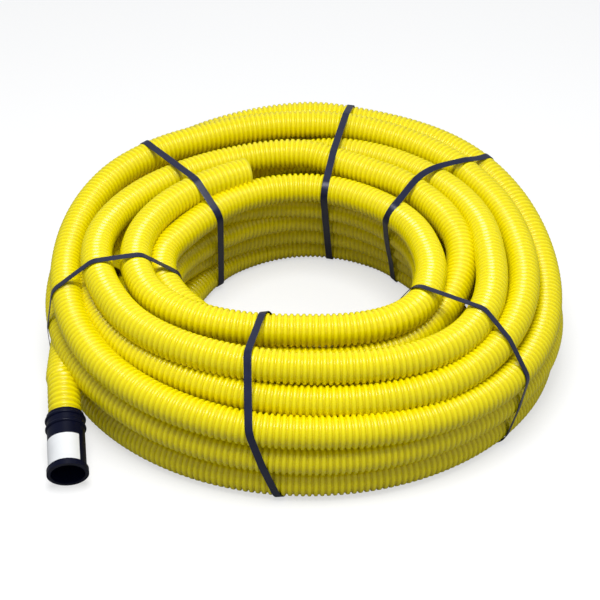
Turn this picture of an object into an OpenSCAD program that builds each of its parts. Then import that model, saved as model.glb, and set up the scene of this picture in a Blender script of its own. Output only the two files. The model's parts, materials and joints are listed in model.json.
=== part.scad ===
// Coil of corrugated conduit, tied with flat straps, with a coupler on its free tail.
// Millimetres. The origin is on the coil's axis at floor level, +Z up, front towards -Y.

/* [Conduit] */
// Outside diameter over the crests of the corrugations
conduit_od = 50; // [44:1:54]
// Depth of one corrugation, from crest to valley
rib_depth = 2.6; // [1.5:0.1:4]
// Distance from one corrugation to the next
rib_pitch = 9; // [6:0.5:12]
// Width of one crest along the conduit
crest_w = 5; // [3:0.5:5.5]
// Wall left between a valley and the smooth bore
valley_wall = 1.9; // [1:0.1:3]

/* [Coil] */
// Clear diameter of the eye
eye_d = 386; // [320:2:480]
// Slack between neighbouring turns
turn_gap = 3; // [1:0.1:5]
// Extra height of each row, where turns cross under it
row_slack = 4.2; // [0:0.1:6]
// Turns side by side in a full row
turns_wide = 4; // [3:1:6]
// Rows on top of one another
rows = 5; // [3:1:7]
// Turns in the top row
top_turns = 3; // [3:1:3]

/* [Cut end] */
// Place of the cut end around the coil, in degrees from +X
cut_angle = 109; // [106:1:125]
// Arc of the gap that the cut end faces, in degrees
notch_angle = 24; // [20:1:28]
// Bend radius where the far side of the gap turns down
dive_r = 45; // [38:1:60]
// Depth of bore shown in the cut end
cut_bore_depth = 30; // [15:1:35]

/* [Tail] */
// Place where the tail leaves the coil, in degrees from +X
tail_angle = 200; // [198:1:206]
// Angle at which the tail turns away from the coil
tail_away = 12; // [12:1:16]
// Clearance between the coil and the near end of the coupler
tail_clear = 0.5; // [0.5:0.5:10]
// Bend radius where the tail turns down
tail_bend_r = 150; // [120:5:180]
// Slope of the tail's end and its coupler
tail_slope = 19; // [16:0.5:20]
// Depth of bore shown in the tail's end
tail_bore_depth = 45; // [20:1:45]

/* [Coupler] */
// Length of the coupler
coupler_len = 100; // [88:1:104]
// Wall of the coupler
coupler_wall = 2.7; // [2:0.1:4]
// Clearance between the conduit's crests and the socket
socket_gap = 0.3; // [0.1:0.1:0.6]
// Width of the stop ring in the middle
stop_w = 4; // [2:0.5:8]
// Diameter of the rounded beads around the coupler
bead_d = 5; // [3:0.5:6]
// Height of the rim at the open mouth
rim_h = 2.8; // [1.5:0.1:3]
// Width of the rim at the open mouth
rim_w = 8; // [4:0.5:12]

/* [Label] */
// Width of the label along the coupler
label_w = 44; // [30:1:48]
// Thickness of the label
label_t = 0.3; // [0.1:0.1:0.6]
// Arc of the coupler that the label wraps, in degrees
label_arc = 300; // [120:5:340]
// Where the label starts round the coupler, in degrees from underneath
label_turn = 136; // [0:1:359]

/* [Straps] */
// Width of a strap
strap_w = 12; // [8:1:16]
// Thickness of a strap
strap_t = 0.8; // [0.5:0.1:1.2]
// Clearance between a strap and the turns that it ties
strap_gap = 0.3; // [0.1:0.1:0.6]
// Places of the six straps around the coil, in degrees from +X
strap_angles = [42, 77, 133, 193, 260, 322]; // [0:1:359]

/* [Hidden] */
round_fn = 96;
lap = 0.5;
yellow = [0.93, 0.84, 0.08];
black = [0.06, 0.06, 0.08];

// Turns lie in the hollows of the row below, half a pitch to one side
turn_pitch = conduit_od + turn_gap;
row_rise = turn_pitch * sin(60) + row_slack;
inner_r = (eye_d + conduit_od) / 2;
floor_lift = strap_t + strap_gap;
valley_d = conduit_od - 2 * rib_depth;
conduit_bore = valley_d - 2 * valley_wall;
function turns_in(row) = row == rows - 1 ? min(top_turns, turns_wide) : turns_wide;
function turn_at(row, i) = [
    inner_r + turn_pitch * (i + (row % 2) / 2),
    floor_lift + conduit_od / 2 + row * row_rise];
outer_row = 1;
outer_turn = turn_at(outer_row, turns_wide - 1);

// The cut end is that of the second turn of the top row
cut_turn = turn_at(rows - 1, 1);

// The filled core runs through the first and last turn of every row, and stops
// short of the middles of the top and the bottom row
core_inset = conduit_od / 16;
function core_corner(row, i) =
    turn_at(row, i) + [0, row == 0 ? core_inset : row == rows - 1 ? -core_inset : 0];
core_corners = concat(
    [for (row = [0 : rows - 1]) core_corner(row, 0)],
    [for (row = [rows - 1 : -1 : 0]) core_corner(row, turns_in(row) - 1)]);

module turn(row, i, angle = 360) {
    rotate_extrude(angle = angle, $fn = round_fn)
        translate(turn_at(row, i)) circle(d = conduit_od, $fn = 48);
}

// The turns are wound close, so the hidden hollows between them are filled
module core() {
    difference() {
        rotate_extrude($fn = round_fn) polygon(core_corners);
        rotate([0, 0, cut_angle - notch_angle])
            rotate_extrude(angle = notch_angle, $fn = round_fn)
                translate(cut_turn) circle(d = turn_pitch, $fn = 48);
    }
}

// Across the gap in front of the cut end, the round bed of the missing turn shows
module coil() {
    core();
    for (row = [0 : rows - 1])
        for (i = [0 : turns_in(row) - 1])
            if (turn_at(row, i) != cut_turn) turn(row, i);
    rotate([0, 0, cut_angle]) turn(rows - 1, 1, 360 - notch_angle);
}

// Across the gap from the cut end, the turn bends down between its neighbours
module dive() {
    rotate([0, 0, cut_angle - notch_angle])
        translate([cut_turn[0], 0, cut_turn[1] - dive_r])
            rotate([90, 0, 90])
                rotate_extrude(angle = 90, $fn = round_fn)
                    translate([dive_r, 0]) circle(d = conduit_od, $fn = 48);
}

module cut_end_bore() {
    rotate([0, 0, cut_angle]) translate([cut_turn[0], 0, cut_turn[1]])
        rotate([-90, 0, 0])
            translate([0, 0, -lap]) cylinder(d = conduit_bore, h = cut_bore_depth + lap, $fn = 48);
}

// The tail's own frame: its x runs along the tail from the middle of the outer turn
tail_heading = tail_angle + 90 - tail_away;
bend_run = tail_bend_r * sin(tail_slope);
bend_drop = tail_bend_r * (1 - cos(tail_slope));
coupler_r = conduit_od / 2 + socket_gap + coupler_wall;
rim_r = coupler_r + rim_h;
// The slope runs on until the rim of the coupler's mouth lies on the floor
slope_len = (outer_turn[1] - bend_drop - rim_r * cos(tail_slope)) / sin(tail_slope);
coupler_start = slope_len - coupler_len;
socket_len = (coupler_len - stop_w) / 2;
tail_end = coupler_start + socket_len;
// The coupler starts where the tail has moved clear of the coil
clear_of_turn = conduit_od / 2 + coupler_r + tail_clear;
tail_lead = sqrt(pow(outer_turn[0] * sin(tail_away), 2) + clear_of_turn * (2 * outer_turn[0] + clear_of_turn))
    - outer_turn[0] * sin(tail_away);
tail_run = tail_lead - bend_run - coupler_start * cos(tail_slope);

module on_tail() {
    rotate([0, 0, tail_angle]) translate([outer_turn[0], 0, outer_turn[1]])
        rotate([0, 0, tail_heading - tail_angle]) children();
}

// x runs down the slope from the end of the bend
module on_slope() {
    on_tail() translate([tail_run + bend_run, 0, -bend_drop]) rotate([0, tail_slope, 0]) children();
}

module bar(d, from, to) {
    translate([from, 0, 0]) rotate([0, 90, 0]) cylinder(d = d, h = to - from, $fn = 48);
}

module crest(x) {
    bar(conduit_od, x - crest_w / 2, x + crest_w / 2);
}

// A bent length of pipe, as an arc that turns down from the start of the bend
module bend_arc(d, from, to) {
    translate([tail_run, 0, -tail_bend_r]) rotate([90, 0, 0]) rotate([0, 0, 90 - to])
        rotate_extrude(angle = to - from, $fn = round_fn)
            translate([tail_bend_r, 0]) circle(d = d, $fn = 48);
}

// A crest covers each joint between a straight run and the bend
bend_crests = round(tail_bend_r * tail_slope * PI / 180 / rib_pitch);
crest_arc = crest_w / tail_bend_r * 180 / PI;
module tail() {
    on_tail() {
        bar(valley_d, 0, tail_run - 1);
        for (x = [tail_run : -rib_pitch : tail_run / 2]) crest(x);
        bend_arc(valley_d, crest_arc / 4, tail_slope - crest_arc / 4);
        for (k = [1 : bend_crests - 1])
            let (a = tail_slope * k / bend_crests)
                bend_arc(conduit_od, a - crest_arc / 2, a + crest_arc / 2);
    }
    on_slope() {
        bar(valley_d, 1, tail_end);
        for (x = [0 : rib_pitch : tail_end - crest_w / 2 - lap]) crest(x);
    }
}

module tail_bore() {
    on_slope() bar(conduit_bore, tail_end - tail_bore_depth, tail_end + lap);
}

module conduit() {
    color(yellow) difference() {
        union() {
            coil();
            dive();
            tail();
        }
        cut_end_bore();
        tail_bore();
    }
}

// Beads at the near end and the middle, a rim at the open mouth, a stop ring inside
module coupler_profile() {
    socket_r = conduit_od / 2 + socket_gap;
    translate([socket_r, 0]) square([coupler_wall, coupler_len]);
    translate([conduit_bore / 2, socket_len]) square([socket_r + coupler_wall / 2 - conduit_bore / 2, stop_w]);
    translate([socket_r, coupler_len - rim_w]) square([coupler_wall + rim_h, rim_w]);
    for (y = [bead_d, 4 * bead_d])
        translate([coupler_r, y + bead_d / 2]) circle(d = bead_d, $fn = 24);
}

module coupler() {
    color(black) on_slope() translate([coupler_start, 0, 0]) rotate([0, 90, 0])
        difference() {
            rotate_extrude($fn = round_fn) coupler_profile();
            translate([0, 0, -lap])
                cylinder(r = conduit_od / 2 + socket_gap, h = socket_len + lap, $fn = round_fn);
        }
}

label_from = coupler_len - rim_w - label_w - 3;
module coupler_label() {
    color("white") on_slope() translate([coupler_start + label_from, 0, 0]) rotate([0, 90, 0])
        rotate([0, 0, label_turn])
            rotate_extrude(angle = label_arc, $fn = round_fn)
                translate([coupler_r, 0]) square([label_t, label_w]);
}

// A strap pulled tight touches only the outermost turns, which form a convex loop
all_turns = [for (row = [0 : rows - 1]) for (i = [0, turns_in(row) - 1]) turn_at(row, i)];
function side(a, b, p) = cross(b - a, p - a);
function next_corner(a, points, i = 0, best = undef) =
    i == len(points) ? best :
    let (p = points[i])
    let (closer = p != a && (is_undef(best) || side(a, best, p) < 0
        || (side(a, best, p) == 0 && norm(p - a) > norm(best - a))))
    next_corner(a, points, i + 1, closer ? p : best);
function loop_corners(points, path) =
    let (p = next_corner(path[len(path) - 1], points))
    p == path[0] ? path : loop_corners(points, concat(path, [p]));
strap_corners = loop_corners(all_turns, [all_turns[0]]);

// Round corners of the given radius about every corner, joined by straight runs
function heading(a, b) = atan2(b[1] - a[1], b[0] - a[0]);
function rounded_loop(corners, r, steps = 8) = [
    for (i = [0 : len(corners) - 1])
        let (n = len(corners), c = corners[i])
        let (h0 = heading(corners[(i + n - 1) % n], c) - 90, h1 = heading(c, corners[(i + 1) % n]) - 90)
        let (turn = (h1 - h0 + 720) % 360)
        for (k = [0 : steps]) c + r * [cos(h0 + turn * k / steps), sin(h0 + turn * k / steps)]];

module strap(angle) {
    inner = conduit_od / 2 + strap_gap;
    color(black) rotate([0, 0, angle]) rotate([90, 0, 0])
        translate([0, 0, -strap_w / 2]) linear_extrude(strap_w) difference() {
            polygon(rounded_loop(strap_corners, inner + strap_t));
            polygon(rounded_loop(strap_corners, inner));
        }
}

conduit();
coupler();
coupler_label();
strap(strap_angles[0]);  // strap_1
strap(strap_angles[1]);  // strap_2
strap(strap_angles[2]);  // strap_3
strap(strap_angles[3]);  // strap_4
strap(strap_angles[4]);  // strap_5
strap(strap_angles[5]);  // strap_6
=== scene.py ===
import json
import math

import bpy
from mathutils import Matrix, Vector
from mathutils.geometry import convex_hull_2d


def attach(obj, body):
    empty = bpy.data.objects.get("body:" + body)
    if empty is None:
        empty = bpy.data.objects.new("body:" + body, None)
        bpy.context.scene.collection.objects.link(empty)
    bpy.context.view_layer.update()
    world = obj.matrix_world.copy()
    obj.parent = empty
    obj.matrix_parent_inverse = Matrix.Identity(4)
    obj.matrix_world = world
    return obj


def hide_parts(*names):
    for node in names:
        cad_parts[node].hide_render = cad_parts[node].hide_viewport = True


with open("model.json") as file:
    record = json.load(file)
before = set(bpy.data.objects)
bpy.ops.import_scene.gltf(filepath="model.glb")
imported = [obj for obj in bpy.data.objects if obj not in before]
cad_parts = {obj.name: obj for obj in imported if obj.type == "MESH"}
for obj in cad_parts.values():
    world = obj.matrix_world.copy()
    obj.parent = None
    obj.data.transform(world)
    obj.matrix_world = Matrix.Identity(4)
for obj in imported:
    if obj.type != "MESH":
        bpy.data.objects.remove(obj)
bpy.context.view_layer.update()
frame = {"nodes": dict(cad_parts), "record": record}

bl_info = {
    "name": "Corrugated conduit coil",
    "version": (1, 0, 0),
    "blender": (4, 5, 0),
    "location": "View3D > Sidebar > Conduit coil",
    "description": "Dresses the solid model of a strapped coil of corrugated conduit",
    "category": "Object",
}

# How the conduit is laid: degrees round the coil, millimetres from its axis and
# millimetres above the floor, one row of the table for each turn. It starts at
# the cut end on top and works outward and down to the floor.
TURNS = (
    ((118, 211, 219), (135, 214, 220), (180, 262, 206), (210, 282, 200), (225, 280, 198), (255, 253, 193),
     (270, 246, 192), (300, 255, 192), (315, 245, 192), (330, 221, 193)),
    ((0, 187, 195), (45, 173, 192), (90, 185, 190), (135, 188, 188), (150, 190, 186), (165, 204, 181),
     (180, 226, 175), (195, 234, 171), (210, 233, 166), (225, 231, 160), (245, 248, 153), (270, 264, 149),
     (300, 264, 149), (315, 257, 151), (330, 252, 159)),
    ((0, 249, 186), (15, 241, 197), (30, 237, 201), (45, 231, 209), (60, 228, 212), (75, 238, 213),
     (90, 252, 220), (120, 274, 211), (135, 283, 210), (180, 327, 203), (210, 337, 197), (225, 341, 194),
     (270, 333, 188), (300, 347, 187), (315, 339, 187), (345, 300, 193)),
    ((0, 290, 197), (45, 290, 203), (75, 298, 203), (90, 302, 193), (105, 305, 178), (135, 313, 160),
     (180, 340, 155), (210, 350, 153), (240, 350, 150), (270, 357, 147), (300, 376, 151), (315, 372, 155)),
    ((0, 344, 180), (30, 344, 199), (45, 351, 207), (75, 355, 223), (90, 353, 226), (120, 359, 220),
     (135, 370, 215), (150, 379, 205), (180, 380, 175), (195, 384, 164), (210, 392, 153), (225, 399, 143),
     (255, 401, 128), (270, 397, 122), (315, 400, 115)),
    ((0, 386, 140), (45, 396, 200), (75, 396, 216), (90, 401, 219), (120, 400, 197), (135, 391, 180),
     (180, 394, 118), (225, 396, 91), (270, 394, 73), (315, 393, 72)),
    ((0, 395, 75), (45, 398, 75), (90, 401, 76), (135, 397, 62), (165, 390, 41), (180, 386, 26),
     (225, 380, 25), (270, 383, 25), (315, 383, 25)),
    ((0, 384, 25), (90, 390, 25), (120, 386, 25), (180, 337, 25), (270, 337, 25)),
    ((0, 316, 25), (60, 330, 25), (120, 332, 25), (180, 286, 25), (270, 284, 25)),
    ((0, 256, 25), (30, 252, 25), (45, 256, 25), (60, 267, 25), (90, 274, 25), (120, 253, 25),
     (135, 238, 25), (150, 225, 25), (180, 218, 25), (225, 226, 25), (270, 243, 27)),
)

# How many of them show well
SHOWN_TURNS = 7

# Degrees between the points that are worked out along a turn, and the same on the last
# turn, which is smoothed once more together with the tail
STATION_STEP = 2.5
LAST_STEP = 12

# Height of the middle of a turn that lies on the floor
LYING = 25

# After the table it climbs the inner wall from the wall's foot, so many turns, each so
# much higher and closer in. It is squeezed in further by the last amounts, one for each
# eighth of a turn.
WALL_FOOT = (90, 276, 25)
WALL_FIRST = 270
WALL_TURNS = 3
WALL_RISE = 40
WALL_STEP = 22
WALL_SQUEEZE = (18, 13, 0, 13, 0, 4, 0, 13)

# Radius and height of its last two stations, where it goes back under the top rows
WALL_END = ((226, 149), (264, 150))

# A turn in the outer wall at the back, between rows that show more of themselves.
# This and the next two turns start inside the coil, out of sight.
FILLER = (
    (-50, 335, 112), (-20, 342, 110), (0, 358, 107), (15, 382, 117), (30, 393, 130), (45, 392, 158),
    (60, 397, 165), (90, 401, 171), (120, 400, 155), (135, 378, 146), (150, 345, 138), (180, 318, 128),
)

# A turn inside the coil, which shows only through the gaps
INNER_TURN = (
    (-20, 314, 108), (90, 294, 112), (140, 282, 110), (180, 288, 105), (270, 318, 106), (330, 314, 74),
)

# The last turn, which runs round the back at half height to the free tail
LAST_TURN = (
    (-50, 318, 72), (0, 325, 75), (30, 350, 97), (45, 371, 112), (60, 391, 120), (90, 401, 124),
    (120, 399, 111), (135, 397, 105), (150, 396, 99), (165, 394, 87), (182, 392, 74),
)

# The tail in metres: how far from the coupler's mouth its bend ends and its straight
# part begins again, how far it stays clear of the coupler's stop, the bend's radius,
# and the level part before it
TAIL_BEND_END = 0.1195
TAIL_STRAIGHT = 0.03
TAIL_STOP_GAP = 0.004
TAIL_BEND_RADIUS = 0.150
TAIL_LEVEL = 0.045

# One corrugation from crest to crest: how far along it, and how deep, in shares. The
# plainer one is for turns that hardly show.
FINE_RIB = ((0.0, 1.0), (0.15, 0.90), (0.27, 0.16), (0.50, 0.0), (0.73, 0.16), (0.85, 0.90), (1.0, 1.0))
PLAIN_RIB = ((0.0, 1.0), (0.24, 0.42), (0.50, 0.0), (0.76, 0.42), (1.0, 1.0))

# Sides of the tube on turns that show well, on turns that hardly show, on the added
# turns, on the tail and on the open ends
SHOWN_SIDES = 26
LOW_SIDES = 20
ADDED_SIDES = 18
TAIL_SIDES = 28
END_SIDES = 48

# The cut face from the outer wall to the inner wall, in metres: how far along the
# tube, and how far in from the crest or, for the second, how far out from the bore
OUTER_WALL = ((0.0045, 0.0001), (0.0002, 0.0002), (0.0, 0.0006), (0.0, 0.0011), (0.003, 0.0013))
INNER_WALL = ((0.003, 0.0011), (0.0, 0.0010), (0.0, 0.0003), (0.0004, 0.0))
BORE_STEP = 0.008
BORE_STEPS = 11

# Three places on each strap, in millimetres: over the outer turns, over the inner
# turns and low on the coil. The strap lies near the plane through them, and bows
# to its side over the top by the last number.
STRAP_PLACES = {
    "strap_1": (((312, 241, 226), (127, 54, 214), (149, 166, 22)), 25),
    "strap_2": (((83, 395, 243), (26, 118, 213), (42, 235, 22)), 0),
    "strap_3": (((-282, 274, 226), (-169, 115, 211), (-136, 138, 22)), 0),
    "strap_4": (((-379, -115, 190), (-203, -79, 203), (-392, -113, 60)), 0),
    "strap_5": (((-76, -366, 165), (-64, -251, 214), (-42, -404, 10)), 0),
    "strap_6": (((321, -267, 125), (168, -165, 214), (301, -271, 15)), 0),
}

# In metres: the strap's slack over the crests, how far below the top its bow dies
# away, how far across the eye a turn still counts, and the step between its points
STRAP_SLACK = 0.0002
BOW_FADE = 0.15
EYE_REACH = 0.05
STRAP_STEP = 0.012

# The least slant at which a turn's oval is still drawn out, and the points on an oval
LEAST_SLANT = 0.4
OVAL_POINTS = 48

# Shares of the strap's width across it, and the rounding of its edges
STRAP_PARTS = (0.12, 0.76, 0.12)
STRAP_ROUNDING = 0.00025

# The floor: its size, how far it lies below the coil, how much of its colour it throws
# back on the coil, and how much of what the camera sees of it is plain white
FLOOR_SIZE = 14
FLOOR_DROP = 0.0005
FLOOR_BOUNCE = 0.34
FLOOR_WHITE = 0.6

# The light all round, and each lamp's place, size and power. The lamps point at a
# spot on the coil's axis, this high.
SOFT_COLOUR = (0.93, 0.96, 1.0, 1)
SOFT_STRENGTH = 0.5
LAMPS = (
    ("lamp_key", (-0.1, -0.8, 2.4), 1.2, 51),
    ("lamp_fill", (1.9, 0.2, 2.5), 1.8, 5),
    ("lamp_back", (-0.4, 1.7, 2.5), 1.6, 4),
)
LAMP_AIM = 0.1

# The spot on the floor that the camera stands off from, and how far it then looks up
# and to the right of that spot, for each metre ahead. The lengths are those of a
# picture 600 across.
CAMERA_FOOT = (-0.011, -0.012, 0)
FOCAL = 1502
LOOK_UP = 45.7 / FOCAL
LOOK_RIGHT = 1.5 / FOCAL
HALF_FIELD = 300 / FOCAL


class ConduitSettings(bpy.types.PropertyGroup):
    crest_radius: bpy.props.FloatProperty(
        name="Crest radius", description="Outside radius over the corrugations",
        default=0.025, unit="LENGTH")
    rib_depth: bpy.props.FloatProperty(
        name="Rib depth", description="Height of a corrugation", default=0.0031, unit="LENGTH")
    rib_pitch: bpy.props.FloatProperty(
        name="Rib pitch", description="Distance between corrugations", default=0.009, unit="LENGTH")
    bore_radius: bpy.props.FloatProperty(
        name="Bore radius", description="Radius of the smooth inner wall", default=0.0205, unit="LENGTH")
    yellow: bpy.props.FloatVectorProperty(
        name="Yellow", description="Colour of the conduit", subtype="COLOR", size=3,
        default=(0.88, 0.76, 0.0))
    strap_width: bpy.props.FloatProperty(
        name="Strap width", description="Width of the straps", default=0.0118, unit="LENGTH")
    strap_thickness: bpy.props.FloatProperty(
        name="Strap thickness", description="Thickness of the straps", default=0.0008, unit="LENGTH")
    strap_colour: bpy.props.FloatVectorProperty(
        name="Strap colour", description="Colour of the straps", subtype="COLOR", size=3,
        default=(0.004, 0.007, 0.032))
    coupler_colour: bpy.props.FloatVectorProperty(
        name="Coupler colour", description="Colour of the coupler", subtype="COLOR", size=3,
        default=(0.002, 0.003, 0.014))
    label_colour: bpy.props.FloatVectorProperty(
        name="Label colour", description="Colour of the label", subtype="COLOR", size=3,
        default=(0.78, 0.79, 0.80))


class StageSettings(bpy.types.PropertyGroup):
    floor_colour: bpy.props.FloatVectorProperty(
        name="Floor colour", description="Colour of the floor", subtype="COLOR", size=3,
        default=(0.9, 0.9, 0.9))
    distance: bpy.props.FloatProperty(
        name="Camera distance", description="From the camera to the foot of the coil's axis",
        default=2.5, unit="LENGTH")
    elevation: bpy.props.FloatProperty(
        name="Camera elevation", description="Angle above the horizon",
        default=math.radians(35.2), subtype="ANGLE")
    field: bpy.props.FloatProperty(
        name="Field of view", description="Angle across the picture",
        default=2 * math.atan(HALF_FIELD), subtype="ANGLE")


class Value:
    """A shader socket that Python's operators turn into Math nodes."""

    def __init__(self, nodes, socket):
        self.nodes = nodes
        self.socket = socket

    def math(self, operation, other):
        return self.nodes.node("ShaderNodeMath", {"operation": operation}, {0: self, 1: other})

    def __add__(self, other):
        return self.math("ADD", other)

    def __mul__(self, other):
        return self.math("MULTIPLY", other)

    __radd__ = __add__
    __rmul__ = __mul__


class Nodes:
    """A node tree, whose nodes are all made by one method."""

    def __init__(self, tree):
        self.tree = tree

    def fill(self, socket, value):
        if isinstance(value, Value):
            self.tree.links.new(value.socket, socket)
        else:
            socket.default_value = value

    def node(self, kind, settings=None, inputs=None, output=0):
        made = self.tree.nodes.new(kind)
        for key, value in (settings or {}).items():
            setattr(made, key, value)
        for key, value in (inputs or {}).items():
            self.fill(made.inputs[key], value)
        return Value(self, made.outputs[output]) if made.outputs else None

    def seen_or_lit(self, lit, seen):
        """The second shader for the camera's own rays, and the first for all others."""
        path = self.node("ShaderNodeLightPath", output="Is Camera Ray")
        return self.node("ShaderNodeMixShader", None, {0: path, 1: lit, 2: seen})


class Shader(Nodes):
    """One material's node tree with a Principled shader."""

    def __init__(self, name):
        self.material = bpy.data.materials.new(name)
        self.material.use_nodes = True
        super().__init__(self.material.node_tree)
        self.surface = self.tree.nodes["Principled BSDF"]

    def place(self):
        return self.node("ShaderNodeTexCoord", output="Object")

    def attribute(self, name):
        return self.node("ShaderNodeAttribute", {"attribute_name": name}, output="Fac")

    def noise(self, scale, detail=3.0, place=None):
        return self.node("ShaderNodeTexNoise", None,
                         {"Vector": place or self.place(), "Scale": scale, "Detail": detail})

    def blend(self, factor, first, second):
        return self.node("ShaderNodeMix", {"data_type": "RGBA"},
                         {0: factor, 6: first, 7: second}, output=2)

    def feed(self, **sockets):
        for name, value in sockets.items():
            self.fill(self.surface.inputs[name.replace("_", " ")], value)

    def bump(self, height, strength, distance):
        return self.node("ShaderNodeBump", None,
                         {"Strength": strength, "Distance": distance, "Height": height})


def tint(colour, factor):
    return (*(min(1.0, c * factor) for c in colour), 1)


def conduit_plastic(colour):
    """Glossy extruded polyethylene, a little deeper in tone here and there, with painted shade in the
    valleys between the ribs.
    """
    s = Shader("conduit_plastic")
    patches = s.noise(9.0, 4.0)
    grime = s.noise(60.0, 5.0)
    tone = s.blend(patches, tint(colour, 0.92), tint(colour, 1.04))
    worn = s.blend(grime * 0.14, tone, tint(colour, 0.76))
    # Painted shade: the valleys between the ribs are blended, by half at most, toward a dark brownish
    # yellow, the deeper the point the darker.
    painted_valley_shade = (colour[0] * 0.62, colour[1] * 0.54, colour[2] * 0.3, 1)
    fine = s.noise(900.0, 3.0)
    s.feed(Base_Color=s.blend(s.attribute("valley") * 0.5, worn, painted_valley_shade),
           Roughness=0.2 + grime * 0.14,
           IOR=1.5, Specular_IOR_Level=0.42, Normal=s.bump(fine + patches * 0.6, 0.08, 0.0006))
    return s.material


def bore_plastic(colour):
    """The smooth inner wall, duller than the outside."""
    s = Shader("bore_plastic")
    streaks = s.noise(40.0, 4.0)
    s.feed(Base_Color=s.blend(streaks, tint(colour, 0.62), tint(colour, 0.82)),
           Roughness=0.4 + streaks * 0.15, IOR=1.5,
           Normal=s.bump(streaks, 0.15, 0.0005))
    return s.material


def strap_plastic(colour):
    """Polypropylene strapping with a fine embossed weave that scatters the light."""
    s = Shader("strap_plastic")
    place = s.place()
    emboss = s.node("ShaderNodeTexVoronoi", {"feature": "F1"}, {"Vector": place, "Scale": 620.0})
    scuffs = s.noise(70.0, 5.0, place)
    s.feed(Base_Color=s.blend(scuffs, tint(colour, 0.7), tint(colour, 1.5)),
           Roughness=0.22 + scuffs * 0.2, IOR=1.5, Specular_IOR_Level=0.4,
           Normal=s.bump(emboss + scuffs, 0.25, 0.0004))
    return s.material


def coupler_plastic(colour):
    """Moulded black plastic with a faint grain and light scuffs."""
    s = Shader("coupler_plastic")
    grain = s.noise(700.0, 2.0)
    scuffs = s.noise(35.0, 5.0)
    s.feed(Base_Color=s.blend(scuffs, tint(colour, 0.7), tint(colour, 1.5)),
           Roughness=0.24 + scuffs * 0.2, IOR=1.5, Specular_IOR_Level=0.12,
           Normal=s.bump(grain + scuffs * 0.5, 0.15, 0.0005))
    return s.material


def label_paper(colour):
    """Coated label stock, slightly uneven, with a soft shade where it is handled."""
    s = Shader("label_paper")
    fibres = s.noise(500.0, 4.0)
    smudge = s.noise(28.0, 4.0)
    s.feed(Base_Color=s.blend(smudge, tint(colour, 0.86), tint(colour, 1.06)),
           Roughness=0.42 + fibres * 0.2, IOR=1.45,
           Normal=s.bump(fibres + smudge, 0.1, 0.0004))
    return s.material


def deselect():
    if bpy.context.object and bpy.context.object.mode != "OBJECT":
        bpy.ops.object.mode_set(mode="OBJECT")
    bpy.ops.object.select_all(action="DESELECT")


def winding_stations():
    """The turns of the table one after another, and then the inner wall worked out from its rise."""
    stations = [(angle + 360 * turn, radius, height)
                for turn, row in enumerate(TURNS) for angle, radius, height in row]
    foot, radius, height = WALL_FOOT
    foot += 360 * (len(TURNS) - 1)
    for angle in range(foot + WALL_FIRST, foot + 360 * WALL_TURNS + 1, 45):
        turns = (angle - foot) / 360
        squeeze = WALL_SQUEEZE[angle % 360 // 45]
        stations.append((angle, radius - WALL_STEP * turns - squeeze, height + WALL_RISE * turns))
    for radius, height in WALL_END:
        stations.append((stations[-1][0] + 45, radius, height))
    return stations


def smooth_stations(stations, step=STATION_STEP):
    """Points along a laid turn, on smooth curves through its stations."""
    n = len(stations)

    def slope(i, k):
        a, b = stations[max(i - 1, 0)], stations[min(i + 1, n - 1)]
        return (b[k] - a[k]) / (b[0] - a[0])

    points = []
    for i in range(n - 1):
        a, b = stations[i], stations[i + 1]
        span = b[0] - a[0]
        count = max(1, round(span / step))
        for j in range(count + (i == n - 2)):
            t = j / count
            pair = []
            for k in (1, 2):
                pair.append((2 * t**3 - 3 * t**2 + 1) * a[k] + (t**3 - 2 * t**2 + t) * span * slope(i, k)
                            + (3 * t**2 - 2 * t**3) * b[k] + (t**3 - t**2) * span * slope(i + 1, k))
            angle = math.radians(a[0] + t * span)
            radius, height = pair[0], max(pair[1], LYING)
            points.append(Vector((radius * math.cos(angle), radius * math.sin(angle), height)) / 1000)
    return points


def smooth_points(points, each):
    """Points on one smooth curve through the given ones, so many for each stretch."""
    made = []
    n = len(points)
    for i in range(n - 1):
        p0, p1, p2, p3 = (points[max(0, min(n - 1, i + k))] for k in (-1, 0, 1, 2))
        for j in range(each + (i == n - 2)):
            t = j / each
            made.append(0.5 * (2 * p1 + (p2 - p0) * t + (2 * p0 - 5 * p1 + 4 * p2 - p3) * t * t
                               + (3 * p1 - p0 - 3 * p2 + p3) * t**3))
    return made


def length_of(points):
    return sum((b - a).length for a, b in zip(points, points[1:]))


def route_curve(name, points):
    """A curve through the points, for pieces to be bent along."""
    deselect()
    bpy.ops.curve.primitive_nurbs_path_add(location=(0, 0, 0))
    curve = bpy.context.object
    curve.name = name
    curve.data.splines.clear()
    spline = curve.data.splines.new("POLY")
    spline.points.add(len(points) - 1)
    for place, point in zip(spline.points, points):
        place.co = (*point, 1)
    curve.data.twist_mode = "Z_UP"
    curve.data.use_path = True
    return curve


def turned_profile(name, profile, sides):
    """A tube along +X whose radius follows the profile, made by extruding a circle."""
    deselect()
    x, radius = profile[0]
    bpy.ops.mesh.primitive_circle_add(
        vertices=sides, radius=radius, location=(x, 0, 0), rotation=(0, math.pi / 2, 0))
    tube = bpy.context.object
    tube.name = name
    bpy.ops.object.transform_apply(location=True, rotation=True, scale=True)
    bpy.ops.object.mode_set(mode="EDIT")
    bpy.ops.mesh.select_all(action="SELECT")
    for (x0, r0), (x1, r1) in zip(profile, profile[1:]):
        bpy.ops.mesh.extrude_region_move(TRANSFORM_OT_translate={"value": (x1 - x0, 0, 0)})
        if r1 != r0:
            bpy.ops.transform.resize(value=(1, r1 / r0, r1 / r0), center_override=(x1, 0, 0))
    bpy.ops.mesh.select_all(action="SELECT")
    bpy.ops.mesh.normals_make_consistent(inside=False)
    bpy.ops.object.mode_set(mode="OBJECT")
    return tube


def face_out(mesh, away):
    """Turns the faces over where, taken together, they don't face the way that away gives."""
    if sum(face.normal.dot(away(face.center)) for face in mesh.polygons) < 0:
        mesh.flip_normals()


def select_only(piece):
    deselect()
    bpy.context.view_layer.objects.active = piece
    piece.select_set(True)


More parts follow.
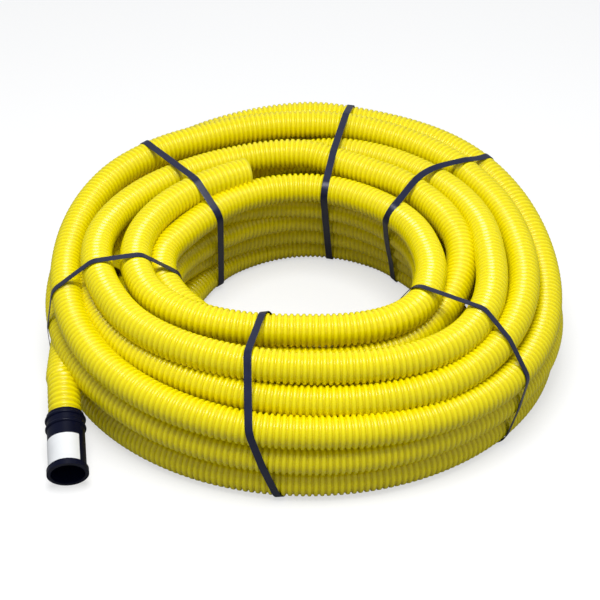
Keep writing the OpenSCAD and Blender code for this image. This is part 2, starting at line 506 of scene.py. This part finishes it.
def bend_along(tube, curve):
    select_only(tube)
    modifier = tube.modifiers.new("bend", "CURVE")
    modifier.object = curve
    modifier.deform_axis = "POS_X"
    bpy.ops.object.modifier_apply(modifier="bend")


def corrugated(name, curve, start, end, sides, settings, rib=FINE_RIB):
    """A length of corrugated conduit between two distances along the route."""
    count = max(1, round((end - start) / settings.rib_pitch))
    pitch = (end - start) / count
    crest = settings.crest_radius
    depth = settings.rib_depth
    tube = turned_profile(name, [(start + pitch * x, crest - depth * drop) for x, drop in rib], sides)
    face_out(tube.data, lambda centre: Vector((0, centre.y, centre.z)))
    # How deep each point lies in the corrugation, 0 at the crest and 1 at the valley floor: the mask for
    # the painted shade in the valleys
    valley = tube.data.attributes.new("valley", "FLOAT", "POINT")
    for place, vertex in zip(valley.data, tube.data.vertices):
        place.value = (crest - math.hypot(vertex.co.y, vertex.co.z)) / depth
    select_only(tube)
    repeat = tube.modifiers.new("repeat", "ARRAY")
    repeat.count = count
    repeat.use_relative_offset = False
    repeat.use_constant_offset = True
    repeat.constant_offset_displace = (pitch, 0, 0)
    repeat.use_merge_vertices = True
    repeat.merge_threshold = 0.00005
    bpy.ops.object.modifier_apply(modifier="repeat")
    bend_along(tube, curve)
    bpy.ops.object.shade_smooth()
    return tube


def open_end(name, curve, start, direction, settings):
    """The cut face of the double wall and the smooth bore inside it, which runs on in direction."""
    crest = settings.crest_radius
    bore = settings.bore_radius
    profile = [(start + direction * x, crest - inward) for x, inward in OUTER_WALL]
    profile += [(start + direction * x, bore + outward) for x, outward in INNER_WALL]
    profile += [(start + direction * BORE_STEP * k, bore) for k in range(1, BORE_STEPS + 1)]
    tube = turned_profile(name, profile, END_SIDES)
    outside = Vector((-direction, 0, 0))
    nowhere = Vector((0, 0, 0))
    face_out(tube.data, lambda centre: outside if abs(centre.x - start) < 0.00001 else nowhere)
    bend_along(tube, curve)
    bpy.ops.object.shade_smooth_by_angle(angle=math.radians(35))
    return tube


def finish_piece(piece, material, node=None):
    piece.data.materials.clear()
    piece.data.materials.append(material)
    if node:
        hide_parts(node)
    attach(piece, "root")


def tail_points():
    """The free tail, from the coupler's own place back to the side of the coil."""
    mount = next(m for m in frame["record"]["mounts"] if m["name"] == "coupler_mouth")
    mouth = Vector(mount["pos_m"])
    down = Vector(mount["axis"]).normalized()
    level = Vector((down.x, down.y, 0)).normalized()
    slope = math.asin(-down.z)

    def bent(angle):
        along, drop = TAIL_BEND_RADIUS * math.sin(angle), TAIL_BEND_RADIUS * (1 - math.cos(angle))
        return level * along - Vector((0, 0, drop))

    stop = mouth - down * (mount["dims"]["length_mm"] / 1000 + TAIL_STOP_GAP)
    bend_end = mouth - down * TAIL_BEND_END
    bend_start = bend_end - bent(slope)
    points = [bend_start - level * TAIL_LEVEL, bend_start]
    points += [bend_start + bent(slope * k / 3) for k in (1, 2, 3)]
    points += [bend_end + down * TAIL_STRAIGHT, stop]
    return points


def all_routes():
    """Every stretch of conduit, as points along its middle."""
    winding = smooth_stations(winding_stations())
    filler = smooth_stations(FILLER)
    inner = smooth_stations(INNER_TURN)
    last = smooth_points(smooth_stations(LAST_TURN, LAST_STEP)[:-1] + tail_points(), 6)
    return winding, filler, inner, last


class CONDUIT_OT_turns(bpy.types.Operator):
    """Lay the corrugated turns of the coil"""
    bl_idname = "conduit.turns"
    bl_label = "Turns"

    def execute(self, context):
        settings = context.scene.conduit
        plastic = conduit_plastic(settings.yellow)
        inside = bore_plastic(settings.yellow)
        winding, filler, inner, last = all_routes()
        route = route_curve("winding_route", winding)
        whole = length_of(winding)
        shown = length_of(winding[:round((360 * SHOWN_TURNS - TURNS[0][0][0]) / STATION_STEP)])
        third, half = shown / 3, (whole - shown) / 2
        stretches = [(third * k, third * (k + 1), SHOWN_SIDES, FINE_RIB) for k in range(3)]
        stretches += [(shown + half * k, shown + half * (k + 1), LOW_SIDES, PLAIN_RIB) for k in range(2)]
        for number, (start, end, sides, rib) in enumerate(stretches, 1):
            piece = corrugated("turns_%d" % number, route, start, end, sides, settings, rib)
            finish_piece(piece, plastic, "conduit")
        finish_piece(open_end("cut_end", route, 0.0, 1, settings), inside)
        bpy.data.objects.remove(route)
        for name, points in (("turns_back", filler), ("turns_inner", inner)):
            route = route_curve(name + "_route", points)
            piece = corrugated(name, route, 0, length_of(points), ADDED_SIDES, settings, PLAIN_RIB)
            finish_piece(piece, plastic)
            bpy.data.objects.remove(route)
        route = route_curve("tail_route", last)
        piece = corrugated("tail", route, 0, length_of(last), TAIL_SIDES, settings)
        finish_piece(piece, plastic)
        finish_piece(open_end("tail_end", route, length_of(last) - 0.0005, -1, settings), inside)
        bpy.data.objects.remove(route)
        return {"FINISHED"}


class StrapLoop:
    """The tight loop of one strap round every turn that it crosses."""

    def __init__(self, places, bow, settings):
        outer, inner, low = (Vector(p) / 1000 for p in places)
        self.origin = inner
        self.normal = (outer - inner).cross(low - inner).normalized()
        if self.normal.dot(Vector((-inner.y, inner.x, 0))) < 0:
            self.normal.negate()
        level = Vector((outer.x - inner.x, outer.y - inner.y, 0))
        self.along = (level - self.normal * level.dot(self.normal)).normalized()
        self.up = self.along.cross(self.normal)
        if self.up.z < 0:
            self.up.negate()
        self.reach = (outer - inner).dot(self.along)
        self.bow = bow / 1000
        self.radius = settings.crest_radius + STRAP_SLACK
        self.half_width = settings.strap_width / 2

    def offset(self, x, y):
        """How far the strap lies to the side of its plane, most in the middle of its top."""
        across = min(max(x / self.reach, 0), 1)
        height = min(max(1 + y / BOW_FADE, 0), 1)
        return self.bow * math.sin(math.pi * across) ** 2 * height

    def flat(self, place):
        return Vector(((place - self.origin).dot(self.along), (place - self.origin).dot(self.up)))

    def side(self, place):
        return (place - self.origin).dot(self.normal) - self.offset(*self.flat(place))

    def place(self, spot):
        return self.origin + self.along * spot.x + self.up * spot.y + self.normal * self.offset(*spot)

    def outlines(self, points):
        """The oval that each crossing turn shows at either edge of the strap."""
        sides = [self.side(p) for p in points]
        for a, b, side_a, side_b in zip(points, points[1:], sides, sides[1:]):
            if side_a * side_b > 0:
                continue
            centre = self.flat(a.lerp(b, side_a / (side_a - side_b)))
            if centre.x < -EYE_REACH:
                continue
            run = (b - a).normalized()
            lean = Vector((run.dot(self.along), run.dot(self.up)))
            square = max(abs(run.dot(self.normal)), LEAST_SLANT)
            major = lean.normalized()
            minor = Vector((-major.y, major.x))
            shift = self.half_width * lean.length / square
            for k in range(OVAL_POINTS):
                turn = math.tau * k / OVAL_POINTS
                rim = (centre + major * (self.radius / square * math.cos(turn))
                       + minor * (self.radius * math.sin(turn)))
                yield rim + major * shift
                yield rim - major * shift

    def around(self, routes):
        """Points a step apart round the loop, in the strap's plane."""
        rim = [spot for points in routes for spot in self.outlines(points)]
        loop = [rim[i] for i in convex_hull_2d(rim)]
        dense = []
        for a, b in zip(loop, loop[1:] + loop[:1]):
            count = max(1, round((b - a).length / STRAP_STEP))
            dense += [a.lerp(b, k / count) for k in range(count)]
        return dense


class CONDUIT_OT_straps(bpy.types.Operator):
    """Pull the flat straps tight round the winding"""
    bl_idname = "conduit.straps"
    bl_label = "Straps"

    def execute(self, context):
        settings = context.scene.conduit
        plastic = strap_plastic(settings.strap_colour)
        routes = all_routes()
        for name, (places, bow) in STRAP_PLACES.items():
            strap = StrapLoop(places, bow, settings)
            loop = strap.around(routes)
            deselect()
            bpy.ops.mesh.primitive_circle_add(vertices=len(loop), radius=0.2, location=(0, 0, 0))
            band = bpy.context.object
            band.name = name + "_band"
            for vertex, spot in zip(band.data.vertices, loop):
                vertex.co = strap.place(spot) - strap.normal * strap.half_width
            bpy.ops.object.mode_set(mode="EDIT")
            bpy.ops.mesh.select_all(action="SELECT")
            for part in STRAP_PARTS:
                bpy.ops.mesh.extrude_region_move(
                    TRANSFORM_OT_translate={"value": tuple(strap.normal * settings.strap_width * part)})
            bpy.ops.mesh.select_all(action="SELECT")
            bpy.ops.mesh.normals_make_consistent(inside=False)
            bpy.ops.object.mode_set(mode="OBJECT")
            for vertex in band.data.vertices:
                vertex.co.z = max(vertex.co.z, settings.strap_thickness)
            middle = strap.place(sum(loop, Vector((0, 0))) / len(loop))
            face_out(band.data, lambda centre: centre - middle)
            wall = band.modifiers.new("wall", "SOLIDIFY")
            wall.thickness = settings.strap_thickness
            wall.offset = 1
            edge = band.modifiers.new("edge", "BEVEL")
            edge.width = STRAP_ROUNDING
            edge.segments = 2
            edge.limit_method = "ANGLE"
            for modifier in ("wall", "edge"):
                bpy.ops.object.modifier_apply(modifier=modifier)
            bpy.ops.object.shade_smooth_by_angle(angle=math.radians(40))
            finish_piece(band, plastic, name)
        return {"FINISHED"}


class CONDUIT_OT_fittings(bpy.types.Operator):
    """Give the coupler and its label their finishes"""
    bl_idname = "conduit.fittings"
    bl_label = "Coupler and label"

    def execute(self, context):
        settings = context.scene.conduit
        for node, material in (("coupler", coupler_plastic(settings.coupler_colour)),
                               ("coupler_label", label_paper(settings.label_colour))):
            for place in frame["nodes"][node].material_slots:
                place.material = material
        return {"FINISHED"}


class CONDUIT_OT_stage(bpy.types.Operator):
    """Set up the pale floor, the soft light and the camera"""
    bl_idname = "conduit.stage"
    bl_label = "Stage"

    def execute(self, context):
        scene = context.scene
        settings = scene.conduit_stage
        deselect()
        bpy.ops.mesh.primitive_plane_add(size=FLOOR_SIZE, location=(0, 0, -FLOOR_DROP))
        floor = context.object
        floor.name = "floor"
        bpy.ops.object.mode_set(mode="EDIT")
        bpy.ops.mesh.select_all(action="SELECT")
        bpy.ops.mesh.subdivide(number_cuts=3)
        bpy.ops.object.mode_set(mode="OBJECT")
        bpy.ops.object.transform_apply(location=True, rotation=True, scale=True)
        paint = Shader("floor_paint")
        paint.feed(Base_Color=tint(settings.floor_colour, FLOOR_BOUNCE), Roughness=1.0,
                   Specular_IOR_Level=0.0)
        pale = paint.node("ShaderNodeBsdfDiffuse", None, {"Color": (1, 1, 1, 1)})
        glow = paint.node("ShaderNodeEmission", None, {"Strength": 1.0})
        white = paint.node("ShaderNodeMixShader", None, {0: FLOOR_WHITE, 1: pale, 2: glow})
        plain = Value(paint, paint.surface.outputs[0])
        paint.fill(paint.tree.nodes["Material Output"].inputs["Surface"], paint.seen_or_lit(plain, white))
        floor.data.materials.append(paint.material)

        world = bpy.data.worlds.new("soft_studio")
        scene.world = world
        world.use_nodes = True
        world.node_tree.nodes.clear()
        sky = Nodes(world.node_tree)
        soft = sky.node("ShaderNodeBackground", None, {"Color": SOFT_COLOUR, "Strength": SOFT_STRENGTH})
        white = sky.node("ShaderNodeBackground", None, {"Color": (1, 1, 1, 1), "Strength": 1.0})
        sky.node("ShaderNodeOutputWorld", None, {"Surface": sky.seen_or_lit(soft, white)})

        for name, place, size, power in LAMPS:
            deselect()
            bpy.ops.object.light_add(type="AREA", location=place)
            lamp = context.object
            lamp.name = name
            lamp.data.shape = "DISK"
            lamp.data.size = size
            lamp.data.energy = power
            down = Vector((0, 0, LAMP_AIM)) - Vector(place)
            lamp.rotation_euler = down.to_track_quat("-Z", "Y").to_euler()

        deselect()
        across, up = math.cos(settings.elevation), math.sin(settings.elevation)
        ahead = Vector((0, across, -up))
        above = Vector((0, up, across))
        aim = ahead + above * LOOK_UP + Vector((LOOK_RIGHT, 0, 0))
        bpy.ops.object.camera_add(location=Vector(CAMERA_FOOT) - ahead * settings.distance)
        camera = context.object
        camera.name = "camera"
        camera.rotation_euler = aim.to_track_quat("-Z", "Y").to_euler()
        camera.data.angle = settings.field
        camera.data.clip_end = 50
        scene.camera = camera
        scene.view_settings.view_transform = "Standard"
        return {"FINISHED"}


class CONDUIT_PT_panel(bpy.types.Panel):
    bl_label = "Conduit coil"
    bl_idname = "CONDUIT_PT_panel"
    bl_space_type = "VIEW_3D"
    bl_region_type = "UI"
    bl_category = "Conduit coil"

    def draw(self, context):
        layout = self.layout
        for group in (context.scene.conduit, context.scene.conduit_stage):
            for name in group.__annotations__:
                layout.prop(group, name)
        for name in ("conduit.turns", "conduit.straps", "conduit.fittings", "conduit.stage"):
            layout.operator(name)


CLASSES = (ConduitSettings, StageSettings, CONDUIT_OT_turns, CONDUIT_OT_straps,
           CONDUIT_OT_fittings, CONDUIT_OT_stage, CONDUIT_PT_panel)


def register():
    for item in CLASSES:
        bpy.utils.register_class(item)
    bpy.types.Scene.conduit = bpy.props.PointerProperty(type=ConduitSettings)
    bpy.types.Scene.conduit_stage = bpy.props.PointerProperty(type=StageSettings)


def unregister():
    del bpy.types.Scene.conduit_stage
    del bpy.types.Scene.conduit
    for item in reversed(CLASSES):
        bpy.utils.unregister_class(item)


def main():
    register()
    bpy.ops.conduit.turns()
    bpy.ops.conduit.straps()
    bpy.ops.conduit.fittings()
    bpy.ops.conduit.stage()


if __name__ == "__main__":
    main()
